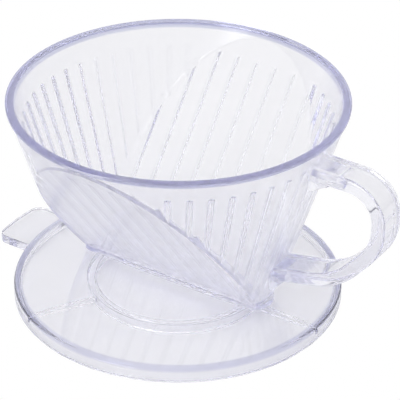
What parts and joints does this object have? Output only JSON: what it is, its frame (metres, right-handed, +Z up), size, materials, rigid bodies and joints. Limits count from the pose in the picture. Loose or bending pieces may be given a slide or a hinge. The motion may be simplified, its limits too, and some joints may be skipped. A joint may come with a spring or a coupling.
{
  "type": "pour over dripper",
  "caption": "Clear plastic wedge coffee dripper: a ribbed filter cup with a round rim, a strap handle and a round base plate with a lifting tab.",
  "frame": {"origin": "centre of the foot of the base plate, on the table", "axes": "+X along the drain slot towards the handle, +Z up towards the rim"},
  "size_m": [0.1544, 0.116, 0.0765],
  "materials": {
    "clear_cup": "clear moulded resin, polished, with a faint violet cast",
    "clear_handle": "clear moulded resin, polished",
    "clear_plate": "clear moulded resin, polished, softer gloss under the plate"
  },
  "bodies": {
    "root": {"cup": "clear_cup", "handle": "clear_handle", "base_plate": "clear_plate"}
  },
  "joints": []
}
